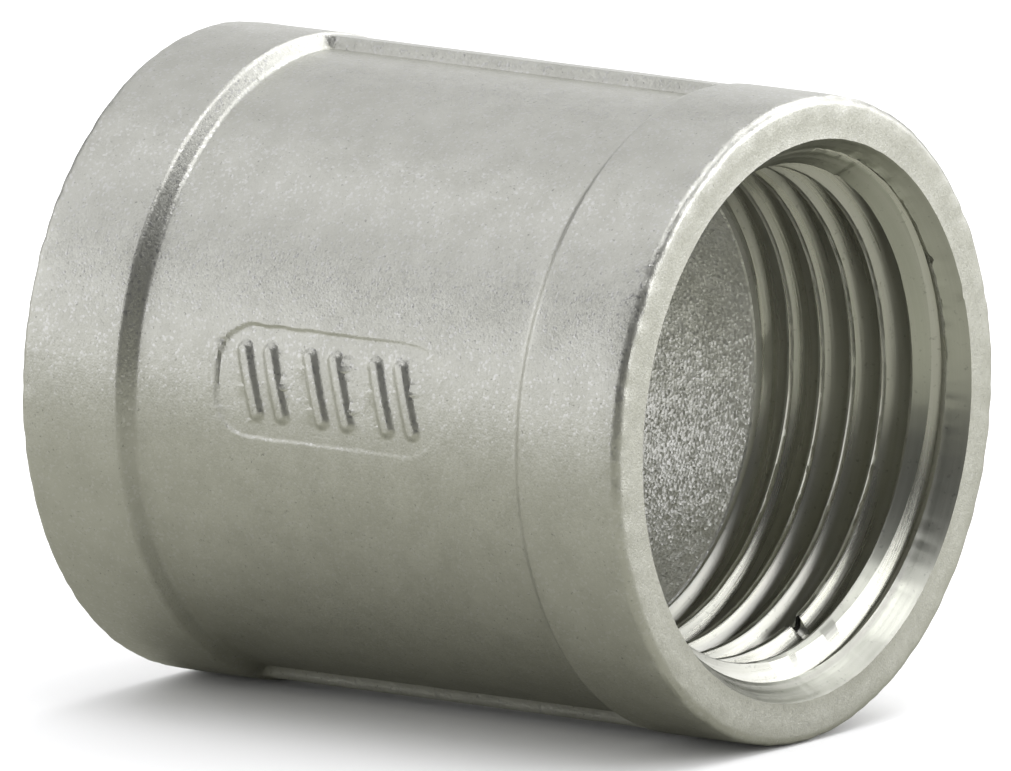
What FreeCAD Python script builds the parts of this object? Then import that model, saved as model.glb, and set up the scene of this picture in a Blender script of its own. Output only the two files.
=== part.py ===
import FreeCAD, Part
import math
import os

# A full pipe coupling: one stainless steel casting with a band round each end, two ribs along the
# barrel, a shallow marking pad, and a 1 inch parallel female pipe thread cut in from each end.
# Millimetres. The bore's axis is X, Z is up, and the origin is on the axis at mid length.
# Clock angles go round the axis in degrees: 0 is the top, 90 is the front side, -Y.

# Thread: 1 inch parallel pipe thread, 11 turns to the inch, 55 degree form with flat crests
inch = 25.4
turns_per_inch = 11
thread_major_diameter = 33.249
thread_flank_angle = 27.5
thread_depth_share = 0.640327
thread_flat_share = 1.0 / 6.0
thread_length = 15.2
thread_clock = -204.0

# Bore: a conical mouth at each end and, between the threads, the hole left by the casting core
mouth_relief = 0.7255
mouth_half_angle = 30.0
core_step = 0.25

# Outside of the casting: the barrel's wall is measured over the thread's root
overall_length = 45.0
barrel_wall = 2.4755
band_rise = 0.9
band_width = 7.5
shoulder_run = 0.7
rim_fillet = 0.5
shoulder_fillet = 0.35

# Ribs on the mould's parting plane
rib_drop = 0.15
rib_base_width = 3.4
rib_top_width = 2.6
rib_root_depth = 0.8
rib_fillet = 0.3
rib_clock = -10.0

# Marking pad and the plain bars raised on it
pad_length = 16.8
pad_height = 7.2
pad_corner = 2.6
pad_depth = 0.25
pad_clock = 83.0
bar_pairs = 3
bar_pair_pitch = 4.9
bar_gap = 1.9
bar_width = 0.8
bar_corner = 0.36
bar_height = 4.8
bar_slant = 18.0
bar_proud = 0.1

# Allowances of the cutting solids
overrun = 1.0
flank_overrun = 0.12
groove_overrun = 0.6

pitch = inch / turns_per_inch
thread_depth = thread_depth_share * pitch
major_radius = thread_major_diameter / 2
minor_radius = major_radius - thread_depth
flank_slope = math.tan(math.radians(thread_flank_angle))
mouth_radius = major_radius + mouth_relief
core_radius = minor_radius - core_step
half_length = overall_length / 2
barrel_radius = major_radius + barrel_wall
band_radius = barrel_radius + band_rise
band_inner_end = half_length - band_width
barrel_end = band_inner_end - shoulder_run
rib_radius = band_radius - rib_drop

along_x = FreeCAD.Vector(1, 0, 0)
along_z = FreeCAD.Vector(0, 0, 1)
centre = FreeCAD.Vector(0, 0, 0)


def outline(points):
    corners = [FreeCAD.Vector(x, y, z) for x, y, z in points]
    return Part.makePolygon(corners + corners[:1])


def at_clock(shape, clock):
    """Turn a shape made at the top round the bore's axis, to the front side for positive angles."""
    turned = shape.copy()
    turned.rotate(centre, along_x, clock)
    return turned


def ring(inner_radius, outer_radius):
    start = FreeCAD.Vector(-half_length, 0, 0)
    outer = Part.makeCylinder(outer_radius, overall_length, start, along_x)
    inner = Part.makeCylinder(inner_radius, overall_length, start, along_x)
    return outer.cut(inner)


def banded_blank():
    """The outside of the casting, solid through, with its rims and shoulders rounded."""
    right_half = [
        (barrel_end, 0, barrel_radius),
        (band_inner_end, 0, band_radius),
        (half_length, 0, band_radius),
        (half_length, 0, 0),
    ]
    left_half = [(-x, y, z) for x, y, z in reversed(right_half)]
    blank = Part.Face(outline(left_half + right_half)).revolve(centre, along_x, 360)
    rims = circles_at(blank, half_length, band_radius)
    blank = blank.makeFillet(rim_fillet, rims)
    shoulders = circles_at(blank, band_inner_end, band_radius) + circles_at(blank, barrel_end, barrel_radius)
    return blank.makeFillet(shoulder_fillet, shoulders)


def circles_at(shape, x, radius):
    """The round edges of one radius at this distance either side of mid length."""
    found = []
    for edge in shape.Edges:
        if not isinstance(edge.Curve, Part.Circle):
            continue
        same_place = abs(abs(edge.Curve.Center.x) - x) < 1e-6
        if same_place and abs(edge.Curve.Radius - radius) < 1e-6:
            found.append(edge)
    return found


def rib(clock):
    """One rib from band to band, its sides drafted and its rounded top following the bands."""
    low = barrel_radius - rib_root_depth
    section = outline([
        (-band_inner_end, -rib_base_width / 2, low),
        (-band_inner_end, rib_base_width / 2, low),
        (-band_inner_end, rib_top_width / 2, band_radius),
        (-band_inner_end, -rib_top_width / 2, band_radius),
    ])
    bar = Part.Face(section).extrude(FreeCAD.Vector(2 * band_inner_end, 0, 0))
    bar = bar.common(ring(low, rib_radius))
    top_edges = [edge for edge in bar.Edges if edge.Length > band_inner_end and edge.CenterOfMass.z > barrel_radius]
    return at_clock(bar.makeFillet(rib_fillet, top_edges), clock)


def rounded_plate(length, width, corner):
    """A plate with round corners that stands from the bore's axis up past the bands."""
    plate = Part.makeBox(length, width, 2 * band_radius, FreeCAD.Vector(-length / 2, -width / 2, 0))
    uprights = [edge for edge in plate.Edges if abs(edge.tangentAt(edge.FirstParameter).z) > 0.9]
    return plate.makeFillet(corner, uprights)


def pad_recess():
    plate = rounded_plate(pad_length, pad_height, pad_corner)
    return at_clock(plate.common(ring(barrel_radius - pad_depth, band_radius)), pad_clock)


def raised_bars():
    """Pairs of plain slanted bars on the pad's floor."""
    reach = ring(barrel_radius - 2 * pad_depth, barrel_radius + bar_proud)
    bars = []
    for pair in range(bar_pairs):
        pair_x = (pair - (bar_pairs - 1) / 2) * bar_pair_pitch
        for side in (-0.5, 0.5):
            bar = rounded_plate(bar_width, bar_height, bar_corner)
            bar.rotate(centre, along_z, bar_slant)
            bar.translate(FreeCAD.Vector(pair_x + side * bar_gap, 0, 0))
            bars.append(at_clock(bar.common(reach), pad_clock))
    return bars


def bore_quarters():
    """The bore with its two conical mouths, as four quarter turns, so each quarter has its own wall."""
    mouth_depth = (mouth_radius - minor_radius) / math.tan(math.radians(mouth_half_angle))
    core_start = half_length - thread_length
    step = minor_radius - core_radius
    right_half = [
        (core_start - step, 0, core_radius),
        (core_start, 0, minor_radius),
        (half_length - mouth_depth, 0, minor_radius),
        (half_length, 0, mouth_radius),
        (half_length + overrun, 0, mouth_radius),
        (half_length + overrun, 0, 0),
    ]
    left_half = [(-x, y, z) for x, y, z in reversed(right_half)]
    section = Part.Face(outline(left_half + right_half))
    quarter = section.revolve(centre, along_x, 90)
    return [at_clock(quarter, 90 * turn) for turn in range(4)]


def thread_groove():
    """The groove of one thread, swept along its helix, with the mouth at the right-hand end."""
    turns_outside = 2
    depth_at_clock = -turns_outside * pitch
    sweep_length = thread_length - pitch / 2 - depth_at_clock
    root_half = thread_flat_share * pitch / 2
    open_radius = minor_radius - flank_overrun
    open_half = root_half + (major_radius - open_radius) * flank_slope
    inner_radius = minor_radius - groove_overrun
    section = outline([
        (major_radius, 0, -root_half),
        (major_radius, 0, root_half),
        (open_radius, 0, open_half),
        (inner_radius, 0, open_half),
        (inner_radius, 0, -open_half),
        (open_radius, 0, -open_half),
    ])
    helix = Part.Wire(Part.makeLongHelix(pitch, sweep_length, major_radius).Edges)
    groove = Part.Solid(helix.makePipeShell([section], True, True))
    if groove.Volume < 0:
        groove.reverse()
    groove.translate(FreeCAD.Vector(0, 0, depth_at_clock))
    groove.rotate(centre, FreeCAD.Vector(0, 1, 0), -90)
    groove.translate(FreeCAD.Vector(half_length, 0, 0))
    return at_clock(groove, thread_clock)


def coupling():
    body = banded_blank()
    body = body.fuse([rib(rib_clock), rib(rib_clock + 180)])
    body = body.cut(pad_recess())
    body = body.fuse(raised_bars()).removeSplitter()
    body = body.cut(bore_quarters())
    right_groove = thread_groove()
    left_groove = right_groove.copy()
    left_groove.rotate(centre, along_z, 180)
    for groove in (right_groove, left_groove):
        body = body.cut(groove)
    return body.Solids[0]


os.makedirs("parts", exist_ok=True)
coupling().exportStep("parts/coupling_body.step")
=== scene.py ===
import math

import bpy
from mathutils import Matrix, Vector, noise


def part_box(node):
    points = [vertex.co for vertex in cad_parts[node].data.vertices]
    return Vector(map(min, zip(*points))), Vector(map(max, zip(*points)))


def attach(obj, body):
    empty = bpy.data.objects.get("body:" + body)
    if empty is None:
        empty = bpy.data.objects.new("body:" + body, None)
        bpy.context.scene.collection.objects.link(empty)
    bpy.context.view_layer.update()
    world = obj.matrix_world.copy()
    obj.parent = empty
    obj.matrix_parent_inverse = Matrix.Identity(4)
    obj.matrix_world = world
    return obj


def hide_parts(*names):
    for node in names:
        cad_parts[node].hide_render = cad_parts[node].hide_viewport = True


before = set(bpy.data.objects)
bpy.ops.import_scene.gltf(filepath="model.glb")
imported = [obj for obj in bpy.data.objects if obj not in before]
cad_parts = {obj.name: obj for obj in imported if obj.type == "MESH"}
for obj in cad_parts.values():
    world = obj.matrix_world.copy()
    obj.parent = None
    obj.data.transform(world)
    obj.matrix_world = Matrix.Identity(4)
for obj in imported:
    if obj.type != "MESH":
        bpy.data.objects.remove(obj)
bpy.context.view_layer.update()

body_low, body_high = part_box("coupling_body")

# ---------------------------------------------------------------------------
# Sizes, in metres. The overall ones come from the frame.
# ---------------------------------------------------------------------------
MM = 0.001
HALF_LENGTH = body_high[0]
BAND_RADIUS = body_high[2]

BAND_WIDTH = 7.5 * MM
SHOULDER_RUN = 0.7 * MM
BARREL_RADIUS = BAND_RADIUS - 0.9 * MM
RIM_FILLET = 0.65 * MM
SHOULDER_FILLET = 0.55 * MM

PITCH = 25.4 / 11 * MM
MAJOR_RADIUS = 33.249 / 2 * MM
MINOR_RADIUS = MAJOR_RADIUS - 0.640327 * PITCH
CORE_RADIUS = MINOR_RADIUS - 0.1 * MM
MOUTH_RADIUS = MAJOR_RADIUS + 0.7255 * MM
CHAMFER_HALF_ANGLE = math.radians(30)
CHAMFER_DEPTH = 1.21 * MM
CHAMFER_INNER_RADIUS = MOUTH_RADIUS - CHAMFER_DEPTH * math.tan(CHAMFER_HALF_ANGLE)
LAND_HALF_ANGLE = math.radians(37)
LAND_STEP_CLOCK = math.radians(-26)
LAND_STEP = 0.07 * MM
CORE_DEPTH = 14.6 * MM
GROOVE_END_DEPTH = 14.05 * MM
GROOVE_CLOCK = math.radians(-204)
FLANK_SLOPE = math.tan(math.radians(27.5))

RIB_RADIUS = BAND_RADIUS - 0.15 * MM
RIB_HALF_WIDTH = 1.55 * MM
RIB_FLANK = 0.4 * MM
RIB_FLARE = 0.7 * MM
RIB_CLOCKS = (math.radians(-10), math.radians(170))

PAD_HALF_LENGTH = 8.4 * MM
PAD_HALF_HEIGHT = 3.6 * MM
PAD_CORNER = 2.6 * MM
PAD_DEPTH = 0.17 * MM
PAD_EDGE = 0.26 * MM
PAD_CLOCK = math.radians(83)
BAR_RISE = 0.22 * MM
BAR_HALF_WIDTH = 0.42 * MM
BAR_HALF_HEIGHT = 2.0 * MM
BAR_EDGE = 0.50 * MM
BAR_SLANT = math.radians(18)
BAR_PAIR_PITCH = 4.9 * MM
BAR_GAP = 1.9 * MM

TURN_STEPS = 384
GROOVE_STEPS = 192
MERGE = 0.001 * MM


# ---------------------------------------------------------------------------
# Small helpers
# ---------------------------------------------------------------------------
def edit_all():
    bpy.ops.object.mode_set(mode="EDIT")
    bpy.ops.mesh.select_all(action="SELECT")


def leave_edit():
    bpy.ops.object.mode_set(mode="OBJECT")


def rounded_outline(corners, steps=5):
    """Corners (x, r, fillet) to points, each filleted corner drawn as an arc."""
    points = []
    count = len(corners)
    for index, (x, r, fillet) in enumerate(corners):
        here = Vector((x, r))
        if fillet == 0:
            points.append(here)
            continue
        before = (Vector(corners[index - 1][:2]) - here).normalized()
        after = (Vector(corners[(index + 1) % count][:2]) - here).normalized()
        half = before.angle(after) / 2
        middle = here + (before + after).normalized() * fillet / math.sin(half)
        start = here + before * fillet / math.tan(half) - middle
        end = here + after * fillet / math.tan(half) - middle
        for step in range(steps + 1):
            spoke = start.lerp(end, step / steps).normalized()
            points.append(middle + spoke * fillet)
    return points


def draw_outline(name, points):
    """Draw a closed outline in the XZ plane, corner after corner, from one vertex."""
    bpy.ops.object.select_all(action="DESELECT")
    bpy.ops.mesh.primitive_plane_add(size=MM, location=(points[0].x, 0, points[0].y))
    piece = bpy.context.object
    piece.name = name
    bpy.ops.object.transform_apply(location=True)
    edit_all()
    bpy.ops.mesh.merge(type="CENTER")
    for here, there in zip(points, points[1:] + points[:1]):
        step = (there.x - here.x, 0, there.y - here.y)
        bpy.ops.mesh.extrude_region_move(TRANSFORM_OT_translate={"value": step})
    bpy.ops.mesh.select_all(action="SELECT")
    bpy.ops.mesh.remove_doubles(threshold=MERGE)
    leave_edit()
    return piece


def split_long_edges(piece, longest):
    """Divide edges until none is longer than longest(its middle) allows."""
    while True:
        mesh = piece.data
        mesh.vertices.foreach_set("select", [False] * len(mesh.vertices))
        places = [vertex.co.copy() for vertex in mesh.vertices]
        chosen = []
        for edge in mesh.edges:
            a, b = (places[index] for index in edge.vertices)
            chosen.append((a - b).length > longest((a + b) / 2))
        if not any(chosen):
            return
        mesh.edges.foreach_set("select", chosen)
        mesh.polygons.foreach_set("select", [False] * len(mesh.polygons))
        bpy.context.view_layer.objects.active = piece
        bpy.ops.object.mode_set(mode="EDIT")
        bpy.ops.mesh.select_mode(type="EDGE")
        bpy.ops.mesh.subdivide(number_cuts=1, ngon=False)
        bpy.ops.mesh.select_mode(type="VERT")
        leave_edit()


def move_points(piece, moved):
    """Put every vertex at moved(place, normal), all worked out before any of them moves."""
    vertices = piece.data.vertices
    places = [moved(vertex.co.copy(), vertex.normal.copy()) for vertex in vertices]
    vertices.foreach_set("co", [value for place in places for value in place])
    piece.data.update()


def unevenness(point, waves):
    """Smooth noise from 0 to 1, with this many waves in each metre or so."""
    return 0.5 + 0.5 * noise.noise(point * waves)


def mirrored(half):
    return half + [(-x, r, fillet) for x, r, fillet in reversed(half)]


# ---------------------------------------------------------------------------
# Shape
# ---------------------------------------------------------------------------
def row_length(middle):
    """How long the blank's rows may be, so that later moves of its points stay smooth."""
    if middle.z < MAJOR_RADIUS - MM:
        return 1.5 * MM if abs(middle.x) < HALF_LENGTH - CORE_DEPTH else 20 * MM
    if middle.z < MOUTH_RADIUS:
        return 0.7 * MM
    if abs(middle.x) > HALF_LENGTH - 0.01 * MM:
        return 0.7 * MM
    return 1.6 * MM


def turned_blank():
    """The casting turned from one outline: barrel, bands, end faces, mouths and plain bore."""
    band_inner = HALF_LENGTH - BAND_WIDTH
    land_depth = (CHAMFER_INNER_RADIUS - MINOR_RADIUS) / math.tan(LAND_HALF_ANGLE)
    core_end = HALF_LENGTH - CORE_DEPTH
    corners = mirrored([
        (core_end - 0.1 * MM, CORE_RADIUS, 0),
        (core_end, MINOR_RADIUS, 0),
        (HALF_LENGTH - CHAMFER_DEPTH - land_depth, MINOR_RADIUS, 0),
        (HALF_LENGTH - CHAMFER_DEPTH, CHAMFER_INNER_RADIUS, 0),
        (HALF_LENGTH, MOUTH_RADIUS, 0),
        (HALF_LENGTH, BAND_RADIUS, RIM_FILLET),
        (band_inner, BAND_RADIUS, SHOULDER_FILLET),
        (band_inner - SHOULDER_RUN, BARREL_RADIUS, SHOULDER_FILLET),
    ])
    blank = draw_outline("coupling", rounded_outline(corners))
    split_long_edges(blank, row_length)
    edit_all()
    bpy.ops.mesh.spin(steps=TURN_STEPS, angle=math.tau, center=(0, 0, 0), axis=(1, 0, 0))
    bpy.ops.mesh.select_all(action="SELECT")
    bpy.ops.mesh.remove_doubles(threshold=MERGE)
    bpy.ops.mesh.normals_make_consistent(inside=False)
    leave_edit()
    return blank


def groove_cutter():
    """One closed helical cutter with the groove's section, its crest edges slightly rounded."""
    root = PITCH / 12
    crest = root + (MAJOR_RADIUS - MINOR_RADIUS) * FLANK_SLOPE
    ease = 0.12 * MM
    half = [
        (root, MAJOR_RADIUS),
        (crest - ease * FLANK_SLOPE, MINOR_RADIUS + ease),
        (crest + 0.01 * MM, MINOR_RADIUS + 0.03 * MM),
        (crest + 0.09 * MM, MINOR_RADIUS - 0.005 * MM),
        (crest + 0.09 * MM, MINOR_RADIUS - 0.6 * MM),
    ]
    start_x = HALF_LENGTH + PITCH
    turns = (GROOVE_END_DEPTH + PITCH) / PITCH
    section = [Vector((start_x + x, r)) for x, r in half]
    section += [Vector((start_x - x, r)) for x, r in reversed(half)]
    cutter = draw_outline("groove_cutter", section)
    screw = cutter.modifiers.new("helix", "SCREW")
    screw.axis = "X"
    screw.angle = -math.tau * turns
    screw.screw_offset = -PITCH * turns
    screw.iterations = 1
    screw.steps = round(GROOVE_STEPS * turns)
    screw.render_steps = screw.steps
    screw.use_merge_vertices = False
    bpy.ops.object.modifier_apply(modifier=screw.name)
    edit_all()
    bpy.ops.mesh.fill_holes(sides=0)
    bpy.ops.mesh.select_all(action="SELECT")
    bpy.ops.mesh.normals_make_consistent(inside=False)
    leave_edit()
    cutter.data.transform(Matrix.Rotation(GROOVE_CLOCK, 4, "X"))
    return cutter


def cut_threads(piece, thread_material):
    cutter = groove_cutter()
    cutter.data.materials.append(thread_material)
    for end in range(2):
        cutter.data.transform(Matrix.Rotation(math.pi * end, 4, "Z"))
        bpy.ops.object.select_all(action="DESELECT")
        piece.select_set(True)
        bpy.context.view_layer.objects.active = piece
        cut = piece.modifiers.new("thread", "BOOLEAN")
        cut.operation = "DIFFERENCE"
        cut.solver = "EXACT"
        cut.material_mode = "TRANSFER"
        cut.object = cutter
        bpy.ops.object.modifier_apply(modifier=cut.name)
    bpy.data.objects.remove(cutter)


def skin_radius(x, clock, radius):
    """The casting's outer radius at a place on the barrel, with its ribs, pad and raised bars."""
    for rib_clock in RIB_CLOCKS:
        across = abs(wrapped(clock - rib_clock)) * BARREL_RADIUS
        rise = ramp(1 - rib_distance(x, across) / RIB_FLANK)
        radius = max(radius, BARREL_RADIUS + (RIB_RADIUS - BARREL_RADIUS) * rise)
    up = wrapped(PAD_CLOCK - clock) * BARREL_RADIUS
    if abs(x) > PAD_HALF_LENGTH + MM or abs(up) > PAD_HALF_HEIGHT + MM:
        return radius
    depth = PAD_DEPTH * (0.62 - 0.38 * x / PAD_HALF_LENGTH) * (0.68 + 0.32 * up / PAD_HALF_HEIGHT)
    waver = 0.16 * MM * (unevenness(Vector((x, up, 0)), 900) - 0.5)
    radius -= depth * ramp((waver - pad_distance(x, up)) / PAD_EDGE)
    return radius + BAR_RISE * bar_height(x, up)


def wrapped(angle):
    return (angle + math.pi) % math.tau - math.pi


def ramp(share):
    share = min(max(share, 0), 1)
    return share * share * (3 - 2 * share)


def rib_distance(x, across):
    """Distance outside the rib's top, its corners with the shoulders filled to a round."""
    beside = across - RIB_HALF_WIDTH
    to_shoulder = HALF_LENGTH - BAND_WIDTH - RIB_FLANK / 3 - abs(x)
    if beside > RIB_FLARE or to_shoulder > RIB_FLARE:
        return beside
    corner = RIB_FLARE - math.hypot(RIB_FLARE - beside, RIB_FLARE - to_shoulder)
    return min(beside, max(corner, 0))


def pad_distance(x, up):
    """Distance outside the pad's rounded outline, negative inside it."""
    over_x = abs(x) - PAD_HALF_LENGTH + PAD_CORNER
    over_up = abs(up) - PAD_HALF_HEIGHT + PAD_CORNER
    outside = math.hypot(max(over_x, 0), max(over_up, 0))
    return outside + min(max(over_x, over_up), 0) - PAD_CORNER


def bar_height(x, up, reach=0):
    """The raised bars' height at a place on the pad, from 0 to 1, for bars this much wider."""
    nearest = PAD_HALF_LENGTH
    for pair in (-1, 0, 1):
        for side in (-0.5, 0.5):
            along = Vector((x - pair * BAR_PAIR_PITCH - side * BAR_GAP, up))
            along.rotate(Matrix.Rotation(-BAR_SLANT, 2))
            rest = max(abs(along.y) - BAR_HALF_HEIGHT, 0)
            nearest = min(nearest, math.hypot(along.x, rest))
    return ramp((BAR_HALF_WIDTH + BAR_EDGE / 2 + reach - nearest) / BAR_EDGE)


def clock_of(point):
    return math.atan2(-point.y, point.z)


def pad_place(point):
    """A place on the skin as (along, up) in the pad's own plane."""
    return point.x, wrapped(PAD_CLOCK - clock_of(point)) * BARREL_RADIUS


def across_nearest_rib(point):
    return min(abs(wrapped(clock_of(point) - rib)) for rib in RIB_CLOCKS) * BARREL_RADIUS


def skin_edge_length(middle):
    """Short edges where the ribs, pad and bars will stand, and no limit elsewhere."""
    band_inner = HALF_LENGTH - BAND_WIDTH
    if math.hypot(middle.y, middle.z) < BARREL_RADIUS - 0.1 * MM or abs(middle.x) > band_inner:
        return 1
    along, up = pad_place(middle)
    if abs(along) < PAD_HALF_LENGTH + MM and abs(up) < PAD_HALF_HEIGHT + MM:
        if bar_height(along, up, reach=0.1 * MM) > 0:
            return 0.125 * MM
        return 0.24 * MM if abs(pad_distance(along, up) + PAD_EDGE / 2) < 0.35 * MM else 1
    from_flank = abs(rib_distance(middle.x, across_nearest_rib(middle)) - RIB_FLANK / 2)
    return 0.26 * MM if from_flank < RIB_FLANK / 2 + 0.15 * MM else 1


def raise_ribs_and_pad(piece):
    split_long_edges(piece, skin_edge_length)
    band_inner = HALF_LENGTH - BAND_WIDTH

    def raised(point, normal):
        radius = math.hypot(point.y, point.z)
        if radius < BARREL_RADIUS - 0.1 * MM or abs(point.x) > band_inner + 0.2 * MM:
            return point
        wanted = skin_radius(point.x, clock_of(point), max(radius, BARREL_RADIUS))
        return Vector((point.x, point.y * wanted / radius, point.z * wanted / radius))

    move_points(piece, raised)


def roughen_casting(piece):
    """Let the cast faces wander a little inwards, most of all along the rims."""
    def cast(point, normal):
        radius = math.hypot(point.y, point.z)
        if radius < MOUTH_RADIUS + 0.05 * MM:
            return point
        depth = 0.05 * MM * unevenness(point, 160) + 0.015 * MM * unevenness(point, 500)
        from_end = HALF_LENGTH - abs(point.x)
        if radius > BAND_RADIUS - 0.7 * MM and from_end < 0.7 * MM:
            nibble = unevenness(point, 900)
            depth += 0.14 * MM * nibble * nibble
        return point - normal * depth

    move_points(piece, cast)


def roughen_core(piece):
    core_end = HALF_LENGTH - CORE_DEPTH

    def cored(point, normal):
        if abs(point.x) > core_end - 0.12 * MM or math.hypot(point.y, point.z) > MINOR_RADIUS:
            return point
        return point + normal * 0.07 * MM * unevenness(point, 700)

    move_points(piece, cored)


def wear_mouths(piece):
    """Burr the chamfer's inner edge, nick it, and leave the tool's step across the land."""
    def worn(point, normal):
        depth = HALF_LENGTH - abs(point.x)
        radius = math.hypot(point.y, point.z)
        if depth > 3.2 * MM or radius > MOUTH_RADIUS + 0.02 * MM:
            return point
        clock = clock_of(point) if point.x > 0 else clock_of(point) + math.pi
        outward = Vector((0, point.y, point.z)) / radius
        on_chamfer_edge = abs(radius - CHAMFER_INNER_RADIUS) < 0.04 * MM and depth < 1.45 * MM
        if on_chamfer_edge:
            jag = unevenness(point, 2600) - 0.5
            point = point - outward * 0.03 * MM
            nick = ramp(1 - abs(wrapped(clock - math.radians(-62.5))) / math.radians(1.2))
            point = point + outward * (0.17 * MM * jag + 0.22 * MM * nick)
            point.x += math.copysign(0.16 * MM * nick + 0.13 * MM * jag, point.x)
        elif depth > CHAMFER_DEPTH and radius < CHAMFER_INNER_RADIUS - 0.02 * MM:
            past_step = wrapped(clock - LAND_STEP_CLOCK)
            if 0 < past_step < math.radians(70):
                point = point - outward * LAND_STEP * (1 - past_step / math.radians(70))
        if abs(radius - MOUTH_RADIUS) < 0.02 * MM:
            dent = ramp(1 - abs(wrapped(clock - math.radians(-72))) / math.radians(1.4))
            point = point - outward * (0.05 * MM * unevenness(point, 1200) + 0.10 * MM * dent)
        return point

    move_points(piece, worn)


def wear_threads(piece):
    """Let the crests wander, and break one small chip out of a crest."""
    chip = place_in_bore(16.9 * MM, MINOR_RADIUS + 0.25 * MM, math.radians(-156.4))
    reach = 0.66 * MM
    split_long_edges(piece, lambda middle: 0.1 * MM if (middle - chip).length < reach + 0.2 * MM else 1)

    def worn(point, normal):
        depth = HALF_LENGTH - abs(point.x)
        radius = math.hypot(point.y, point.z)
        if not 1.5 * MM < depth < GROOVE_END_DEPTH or not MINOR_RADIUS - 0.01 * MM < radius < MAJOR_RADIUS + 0.01 * MM:
            return point
        outward = Vector((0, point.y, point.z)) / radius
        near_crest = ramp((MAJOR_RADIUS - radius) / (MAJOR_RADIUS - MINOR_RADIUS))
        point.x += 0.07 * MM * near_crest * (unevenness(point, 300) - 0.5)
        point = point + outward * near_crest * 0.05 * MM * unevenness(point, 900)
        from_chip = (point - chip).length + 0.16 * MM * (unevenness(point, 3000) - 0.5)
        broken = min(max(3 * (1 - from_chip / reach), 0), 1)
        return point + outward * 0.6 * MM * broken

    # The faces inside the chip get a near-black finish
    scale = piece.data.materials.find("dark_scale")
    for face in piece.data.polygons:
        if (face.center - chip).length < reach:
            face.material_index = scale
    move_points(piece, worn)


def place_in_bore(x, radius, clock):
    return Vector((x, -radius * math.sin(clock), radius * math.cos(clock)))


# ---------------------------------------------------------------------------
# Materials
# ---------------------------------------------------------------------------
def add(tree, kind, **settings):
    node = tree.nodes.new(kind)
    for name, value in settings.items():
        setattr(node, name, value)
    return node


def new_group(name, inputs, outputs):
    tree = bpy.data.node_groups.new(name, "ShaderNodeTree")
    for socket, kind in inputs:
        tree.interface.new_socket(socket, in_out="INPUT", socket_type=kind)
    for socket, kind in outputs:
        tree.interface.new_socket(socket, in_out="OUTPUT", socket_type=kind)
    return tree, add(tree, "NodeGroupInput"), add(tree, "NodeGroupOutput")


def maths(tree, operation, a, b=None, c=None):
    node = add(tree, "ShaderNodeMath", operation=operation)
    for index, value in enumerate((a, b, c)):
        if value is None:
            continue
        if isinstance(value, (int, float)):
            node.inputs[index].default_value = value
        else:
            tree.links.new(value, node.inputs[index])
    return node.outputs[0]


def vector_maths(tree, operation, a, b=None, scale=None):
    node = add(tree, "ShaderNodeVectorMath", operation=operation)
    for index, value in enumerate((a, b)):
        if value is None:
            continue
        if isinstance(value, tuple):
            node.inputs[index].default_value = value
        else:
            tree.links.new(value, node.inputs[index])
    if scale is not None:
        if isinstance(scale, (int, float)):
            node.inputs["Scale"].default_value = scale
        else:
            tree.links.new(scale, node.inputs["Scale"])
    return node.outputs[0]


def noise_texture(tree, vector, scale, detail=2.0, roughness=0.5):
    node = add(tree, "ShaderNodeTexNoise")
    node.inputs["Scale"].default_value = scale
    node.inputs["Detail"].default_value = detail
    node.inputs["Roughness"].default_value = roughness
    tree.links.new(vector, node.inputs["Vector"])
    return node.outputs["Fac"]


def remap(tree, value, low, high, to_low, to_high):
    node = add(tree, "ShaderNodeMapRange")
    for index, number in enumerate((low, high, to_low, to_high), start=1):
        node.inputs[index].default_value = number
    tree.links.new(value, node.inputs[0])
    return node.outputs[0]


def cast_grain_group():
    """Blasted, pickled casting: a height, glinting tilted grains, and masks for colour, one of them a painted glint.
    """
    tree, start, end = new_group(
        "cast_grain",
        [("Position", "NodeSocketVector"), ("Grain", "NodeSocketFloat"), ("Tilt", "NodeSocketFloat")],
        [("Height", "NodeSocketFloat"), ("Normal", "NodeSocketVector"), ("Blotch", "NodeSocketFloat"),
         ("Glint", "NodeSocketFloat"), ("Pit", "NodeSocketFloat")],
    )
    position = vector_maths(tree, "SCALE", start.outputs["Position"], scale=start.outputs["Grain"])
    lumps = noise_texture(tree, position, 1.0, 3.0, 0.6)
    broad = noise_texture(tree, position, 0.35, 2.0, 0.5)
    cells = add(tree, "ShaderNodeTexVoronoi", feature="F1")
    cells.inputs["Scale"].default_value = 1.6
    tree.links.new(position, cells.inputs["Vector"])
    dome = maths(tree, "MULTIPLY", cells.outputs["Distance"], -0.8)
    height = maths(tree, "ADD", maths(tree, "MULTIPLY", lumps, 1.0), dome)
    height = maths(tree, "ADD", height, maths(tree, "MULTIPLY", broad, 0.8))
    geometry = add(tree, "ShaderNodeNewGeometry")
    offset = vector_maths(tree, "SUBTRACT", cells.outputs["Color"], (0.5, 0.5, 0.5))
    offset = vector_maths(tree, "SCALE", offset, scale=start.outputs["Tilt"])
    tilted = vector_maths(tree, "ADD", geometry.outputs["Normal"], offset)
    normal = vector_maths(tree, "NORMALIZE", tilted)
    split = add(tree, "ShaderNodeSeparateColor")
    tree.links.new(cells.outputs["Color"], split.inputs[0])
    # Glint: grains that get a lighter base colour, a painted glint, besides their real tilt and lower roughness
    glint = remap(tree, split.outputs[0], 0.80, 0.95, 0.0, 1.0)
    pit = remap(tree, lumps, 0.36, 0.26, 0.0, 1.0)
    blotch = noise_texture(tree, position, 0.12, 2.0, 0.5)
    for name, value in (("Height", height), ("Normal", normal), ("Blotch", blotch), ("Glint", glint), ("Pit", pit)):
        tree.links.new(value, end.inputs[name])
    return tree


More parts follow.
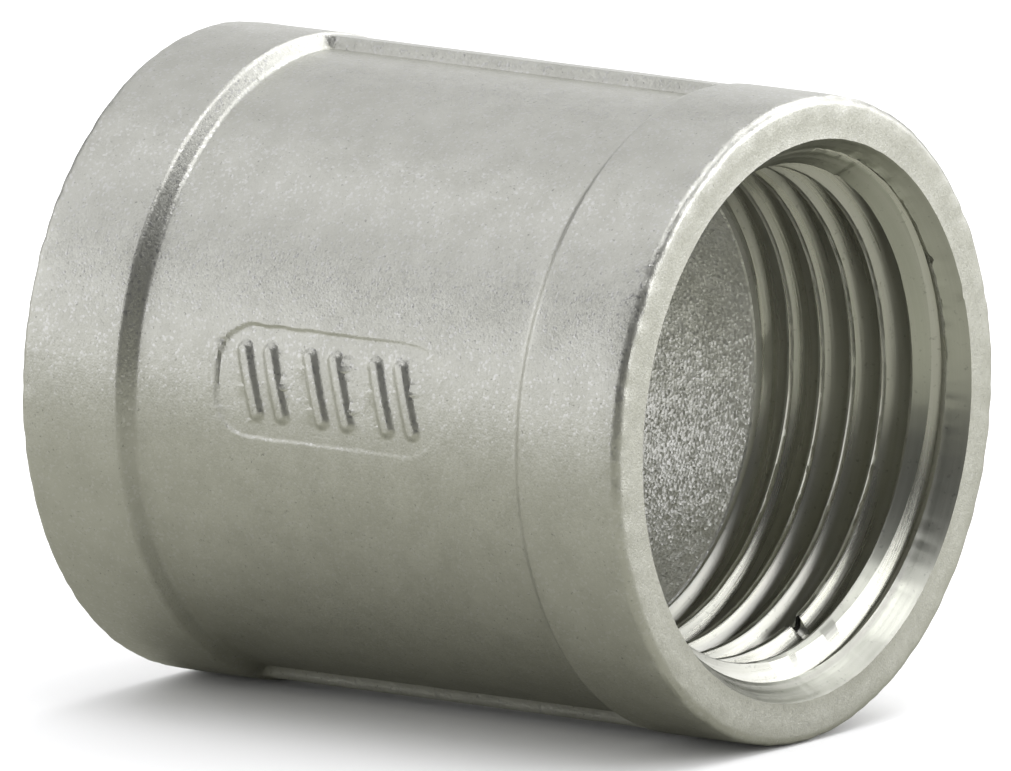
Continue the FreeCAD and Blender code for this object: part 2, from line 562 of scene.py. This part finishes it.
def tool_mark_group():
    """Fine rings left by a turning or threading tool about the bore's axis."""
    tree, start, end = new_group(
        "tool_marks",
        [("Position", "NodeSocketVector"), ("Rings", "NodeSocketFloat")],
        [("Height", "NodeSocketFloat"), ("Streak", "NodeSocketFloat"), ("Speck", "NodeSocketFloat")],
    )
    split = add(tree, "ShaderNodeSeparateXYZ")
    tree.links.new(start.outputs["Position"], split.inputs[0])
    x, y, z = split.outputs
    radius = maths(tree, "SQRT", maths(tree, "ADD", maths(tree, "MULTIPLY", y, y), maths(tree, "MULTIPLY", z, z)))
    turn = maths(tree, "ARCTAN2", y, z)
    ringed = add(tree, "ShaderNodeCombineXYZ")
    tree.links.new(maths(tree, "MULTIPLY", x, start.outputs["Rings"]), ringed.inputs[0])
    tree.links.new(maths(tree, "MULTIPLY", radius, start.outputs["Rings"]), ringed.inputs[1])
    tree.links.new(maths(tree, "MULTIPLY", maths(tree, "SINE", turn), 1.5), ringed.inputs[2])
    rings = noise_texture(tree, ringed.outputs[0], 1.0, 3.0, 0.6)
    streak = noise_texture(tree, ringed.outputs[0], 0.25, 2.0, 0.5)
    speck = noise_texture(tree, start.outputs["Position"], 2.5, 3.0, 0.6)
    for name, value in (("Height", rings), ("Streak", streak), ("Speck", speck)):
        tree.links.new(value, end.inputs[name])
    return tree


def start_material(name):
    material = bpy.data.materials.new(name)
    material.use_nodes = True
    tree = material.node_tree
    surface = tree.nodes["Principled BSDF"]
    surface.inputs["Metallic"].default_value = 1.0
    place = add(tree, "ShaderNodeTexCoord")
    millimetres = vector_maths(tree, "SCALE", place.outputs["Object"], scale=1000.0)
    return material, tree, surface, millimetres


def colour_mix(tree, share, low, high):
    node = add(tree, "ShaderNodeMix", data_type="RGBA")
    for socket, value in ((node.inputs[6], low), (node.inputs[7], high)):
        if isinstance(value, tuple):
            socket.default_value = (*value, 1.0)
        else:
            tree.links.new(value, socket)
    tree.links.new(share, node.inputs[0])
    return node.outputs[2]


def bumped(tree, surface, height, distance, normal=None):
    bump = add(tree, "ShaderNodeBump")
    bump.inputs["Strength"].default_value = 1.0
    bump.inputs["Distance"].default_value = distance
    tree.links.new(height, bump.inputs["Height"])
    if normal is not None:
        tree.links.new(normal, bump.inputs["Normal"])
    tree.links.new(bump.outputs["Normal"], surface.inputs["Normal"])


def cast_material(name, grain_group, grain, tilt, distance, low, high, glint_colour, roughness):
    material, tree, surface, millimetres = start_material(name)
    grains = add(tree, "ShaderNodeGroup", node_tree=grain_group)
    grains.inputs["Grain"].default_value = grain
    grains.inputs["Tilt"].default_value = tilt
    tree.links.new(millimetres, grains.inputs["Position"])
    blotch = remap(tree, grains.outputs["Blotch"], 0.35, 0.65, 0.0, 1.0)
    colour = colour_mix(tree, blotch, low, high)
    # Painted glint: the glint mask lightens the base colour in scattered grains; the tilt and lower roughness give the
    # real glints
    colour = colour_mix(tree, maths(tree, "MULTIPLY", grains.outputs["Glint"], 0.22), colour, glint_colour)
    dark = tuple(0.45 * value for value in low)
    colour = colour_mix(tree, maths(tree, "MULTIPLY", grains.outputs["Pit"], 0.7), colour, dark)
    tree.links.new(colour, surface.inputs["Base Color"])
    rough = remap(tree, grains.outputs["Glint"], 0.0, 1.0, roughness, roughness * 0.7)
    tree.links.new(rough, surface.inputs["Roughness"])
    bumped(tree, surface, grains.outputs["Height"], distance, grains.outputs["Normal"])
    return material


def turned_material(name, mark_group, rings, distance, low, high, roughness):
    material, tree, surface, millimetres = start_material(name)
    marks = add(tree, "ShaderNodeGroup", node_tree=mark_group)
    marks.inputs["Rings"].default_value = rings
    tree.links.new(millimetres, marks.inputs["Position"])
    streak = remap(tree, marks.outputs["Streak"], 0.3, 0.7, 0.0, 1.0)
    colour = colour_mix(tree, streak, low, high)
    speck = remap(tree, marks.outputs["Speck"], 0.62, 0.72, 0.0, 0.5)
    colour = colour_mix(tree, speck, colour, tuple(0.5 * value for value in low))
    tree.links.new(colour, surface.inputs["Base Color"])
    rough = remap(tree, marks.outputs["Streak"], 0.3, 0.7, roughness * 0.8, roughness * 1.25)
    tree.links.new(rough, surface.inputs["Roughness"])
    bumped(tree, surface, marks.outputs["Height"], distance)
    return material


def make_materials():
    grain_group = cast_grain_group()
    mark_group = tool_mark_group()
    skin = cast_material("cast_skin", grain_group, 4.0, 0.09, 0.011 * MM,
                         (0.60, 0.60, 0.545), (0.65, 0.65, 0.595), (0.84, 0.83, 0.88), 0.42)
    face = cast_material("end_face", grain_group, 5.0, 0.07, 0.009 * MM,
                         (0.60, 0.60, 0.545), (0.65, 0.65, 0.595), (0.84, 0.83, 0.88), 0.45)
    mouth = turned_material("turned_mouth", mark_group, 9.0, 0.006 * MM,
                            (0.52, 0.53, 0.46), (0.62, 0.62, 0.56), 0.36)
    thread = turned_material("cut_thread", mark_group, 7.0, 0.010 * MM,
                             (0.50, 0.50, 0.43), (0.62, 0.62, 0.57), 0.28)
    core = cast_material("cast_core", grain_group, 2.8, 0.30, 0.045 * MM,
                         (0.77, 0.77, 0.72), (0.86, 0.86, 0.82), (0.98, 0.97, 1.00), 0.45)
    # A near-black finish for the faces inside the thread chip
    scale = cast_material("dark_scale", grain_group, 6.0, 0.20, 0.03 * MM,
                          (0.03, 0.03, 0.025), (0.08, 0.07, 0.06), (0.30, 0.30, 0.30), 0.60)
    return skin, face, mouth, thread, core, scale


def assign_by_place(piece):
    """Give the faces of the turned blank their finish by where they are."""
    slots = {material.name: index for index, material in enumerate(piece.data.materials)}
    core_end = HALF_LENGTH - CORE_DEPTH
    for face in piece.data.polygons:
        if face.material_index == slots["cut_thread"]:
            continue
        middle = face.center
        radius = math.hypot(middle.y, middle.z)
        outward = (face.normal.y * middle.y + face.normal.z * middle.z) / radius
        if abs(middle.x) > HALF_LENGTH - 0.01 * MM:
            face.material_index = slots["end_face"]
            continue
        if radius > MOUTH_RADIUS or outward > -0.3:
            continue
        if abs(middle.x) < core_end:
            face.material_index = slots["cast_core"]
        elif radius < MINOR_RADIUS + 0.02 * MM:
            face.material_index = slots["cut_thread"]
        else:
            face.material_index = slots["turned_mouth"]


# ---------------------------------------------------------------------------
# Camera and light
# ---------------------------------------------------------------------------
def direction(azimuth, elevation):
    """The way from the object to something at this azimuth (from -Y towards +X) and elevation."""
    a = math.radians(azimuth)
    e = math.radians(elevation)
    return Vector((math.sin(a) * math.cos(e), -math.cos(a) * math.cos(e), math.sin(e)))


def place_camera():
    away = direction(35.6, 10.5)
    right = Vector((0, 0, 1)).cross(away).normalized()
    up = away.cross(right)
    aim = right * -0.12 * MM + up * -0.2 * MM
    camera = bpy.data.cameras.new("camera")
    distance = 4.0
    frame_width = 61.8 * MM
    camera.sensor_width = 36.0
    camera.lens = camera.sensor_width * distance / frame_width
    camera.dof.use_dof = False
    camera.clip_end = 20
    holder = bpy.data.objects.new("camera", camera)
    bpy.context.collection.objects.link(holder)
    holder.matrix_world = Matrix.Translation(aim + away * distance) @ Matrix((
        (right.x, up.x, away.x), (right.y, up.y, away.y), (right.z, up.z, away.z))).to_4x4()
    bpy.context.scene.camera = holder


def soft_box(name, azimuth, elevation, distance, width, height, radiance):
    """A one-sided panel that faces the object and looks this bright from it."""
    light = bpy.data.lights.new(name, "AREA")
    light.shape = "RECTANGLE"
    light.size = width
    light.size_y = height
    light.energy = radiance * math.pi * width * height
    light.color = (0.975, 0.975, 1.0)
    holder = bpy.data.objects.new(name, light)
    holder.visible_camera = False
    bpy.context.collection.objects.link(holder)
    away = direction(azimuth, elevation)
    holder.location = away * distance
    holder.rotation_euler = away.to_track_quat("Z", "Y").to_euler()


def pale_floor():
    """A matt pale floor whose colour is darker for glossy rays only: a painted dark reflection that shades the metal's
    underside.
    """
    paint = bpy.data.materials.new("pale_floor")
    paint.use_nodes = True
    tree = paint.node_tree
    surface = tree.nodes["Principled BSDF"]
    surface.inputs["Roughness"].default_value = 0.9
    surface.inputs["Specular IOR Level"].default_value = 0.1
    path = add(tree, "ShaderNodeLightPath")
    # Painted reflection: the floor is pale to the camera but much darker where the metal mirrors it
    colour = colour_mix(tree, path.outputs["Is Glossy Ray"], (0.9, 0.9, 0.9), (0.32, 0.32, 0.275))
    tree.links.new(colour, surface.inputs["Base Color"])
    return paint


def dim_world():
    """White all round the floor, and dim where the metal mirrors it."""
    world = bpy.data.worlds.new("studio")
    world.use_nodes = True
    tree = world.node_tree
    background = tree.nodes["Background"]
    path = add(tree, "ShaderNodeLightPath")
    colour = colour_mix(tree, path.outputs["Is Glossy Ray"], (0.8, 0.8, 0.8), (0.10, 0.10, 0.10))
    tree.links.new(colour, background.inputs["Color"])
    return world


def make_studio():
    bpy.ops.object.select_all(action="DESELECT")
    bpy.ops.mesh.primitive_plane_add(size=6.0, location=(0, 0, body_low[2]))
    floor = bpy.context.object
    floor.name = "floor"
    floor.data.materials.append(pale_floor())
    soft_box("key", -58, 45, 0.6, 0.36, 0.42, 0.88)
    soft_box("left_top", -112, 52, 0.6, 0.45, 0.40, 0.65)
    soft_box("front_left", -54, 5, 0.7, 1.3, 0.6, 1.12)
    soft_box("end_panel", 146, 3, 0.7, 0.8, 0.5, 1.55)
    soft_box("rear_left", -144, 14, 0.7, 0.6, 0.4, 0.8)
    soft_box("back_top", 176, 46, 0.6, 0.50, 0.50, 2.3)
    soft_box("right_back", 122, 22, 0.6, 0.44, 0.32, 2.7)
    soft_box("right_top", 100, 62, 0.6, 0.26, 0.24, 1.2)
    soft_box("top", 40, 77, 0.6, 0.45, 0.34, 2.2)
    bpy.context.scene.world = dim_world()
    bpy.context.scene.view_settings.view_transform = "Standard"


place_camera()
make_studio()
finishes = make_materials()
coupling = turned_blank()
for finish in finishes:
    coupling.data.materials.append(finish)
cut_threads(coupling, coupling.data.materials["cut_thread"])
assign_by_place(coupling)
raise_ribs_and_pad(coupling)
roughen_casting(coupling)
roughen_core(coupling)
wear_threads(coupling)
wear_mouths(coupling)
bpy.ops.object.select_all(action="DESELECT")
coupling.select_set(True)
bpy.context.view_layer.objects.active = coupling
bpy.ops.object.shade_smooth_by_angle(angle=math.radians(24))

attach(coupling, "root")
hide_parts("coupling_body")
